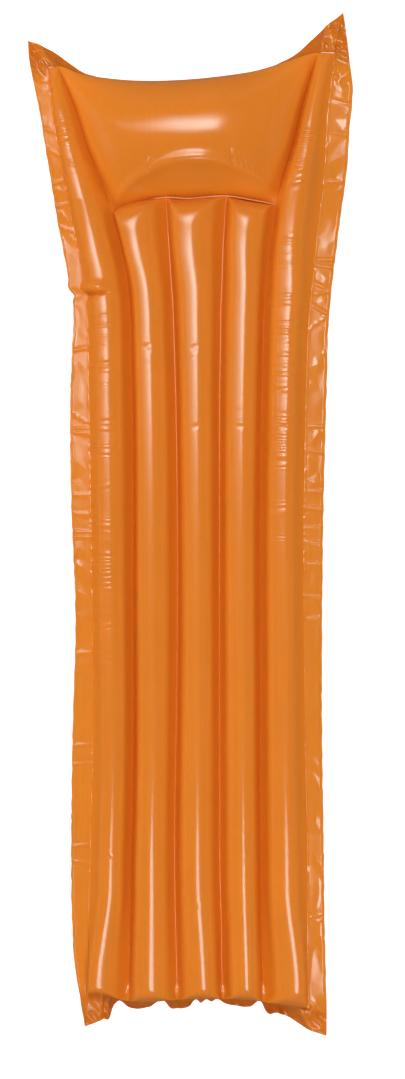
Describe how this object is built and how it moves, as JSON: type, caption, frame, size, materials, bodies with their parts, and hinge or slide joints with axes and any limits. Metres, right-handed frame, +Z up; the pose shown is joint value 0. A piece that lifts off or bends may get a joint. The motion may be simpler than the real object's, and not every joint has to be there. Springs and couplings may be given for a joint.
{
  "type": "inflatable pool mattress",
  "caption": "Inflatable film lounger with lengthwise air tubes, a wide pillow chamber, loose welded margins and stop valves on its underside.",
  "frame": {"origin": "middle of the outline, on the surface that the mattress lies on", "axes": "+Y towards the pillow end, +X to the right seen from above with the pillow at the top, +Z up"},
  "size_m": [0.5628, 1.7802, 0.1286],
  "materials": {
    "orange_film": "glossy, slightly translucent orange PVC film",
    "valve_moulding": "soft natural PVC moulding",
    "valve_flap": "thin clear PVC film"
  },
  "bodies": {
    "mattress": {"pillow": "orange_film", "head_left_tube": "orange_film", "head_right_tube": "orange_film", "outer_left_tube": "orange_film", "inner_left_tube": "orange_film", "centre_tube": "orange_film", "inner_right_tube": "orange_film", "outer_right_tube": "orange_film", "foot_channel": "orange_film", "margin_left": "orange_film", "margin_right": "orange_film", "margin_head": "orange_film", "margin_foot": "orange_film", "weld_outer_left": "orange_film", "weld_inner_left": "orange_film", "weld_inner_right": "orange_film", "weld_outer_right": "orange_film", "pillow_weld": "orange_film", "body_valve_base_ring": "valve_moulding", "body_valve_web": "valve_moulding", "pillow_valve_base_ring": "valve_moulding", "pillow_valve_web": "valve_moulding"},
    "body_stem": {"body_valve_stem": "valve_moulding"},
    "body_plug": {"body_valve_plug": "valve_moulding"},
    "body_flap": {"body_valve_flap": "valve_flap"},
    "pillow_stem": {"pillow_valve_stem": "valve_moulding"},
    "pillow_plug": {"pillow_valve_plug": "valve_moulding"},
    "pillow_flap": {"pillow_valve_flap": "valve_flap"}
  },
  "joints": [
    {"name": "body_stem_slide", "type": "slide", "parent": "mattress", "child": "body_stem", "axis": [0, 0, -1], "range_m": [0, 0.012], "deforming": ["body_valve_web"]},
    {"name": "body_plug_hinge", "type": "hinge", "parent": "body_stem", "child": "body_plug", "pos_m": [0.15663, -0.66, 0.0007], "axis": [0, 1, 0], "range_deg": [0, 120]},
    {"name": "body_flap_hinge", "type": "hinge", "parent": "body_stem", "child": "body_flap", "pos_m": [0.15913, -0.66, 0.0156], "axis": [0, -1, 0], "range_deg": [0, 70], "stiffness_Nm_per_rad": 0.00002},
    {"name": "pillow_stem_slide", "type": "slide", "parent": "mattress", "child": "pillow_stem", "axis": [0, 0, -1], "range_m": [0, 0.012], "deforming": ["pillow_valve_web"]},
    {"name": "pillow_plug_hinge", "type": "hinge", "parent": "pillow_stem", "child": "pillow_plug", "pos_m": [0.0726, 0.669, 0.0007], "axis": [0, 1, 0], "range_deg": [0, 120]},
    {"name": "pillow_flap_hinge", "type": "hinge", "parent": "pillow_stem", "child": "pillow_flap", "pos_m": [0.0751, 0.669, 0.0156], "axis": [0, -1, 0], "range_deg": [0, 70], "stiffness_Nm_per_rad": 0.00002}
  ]
}
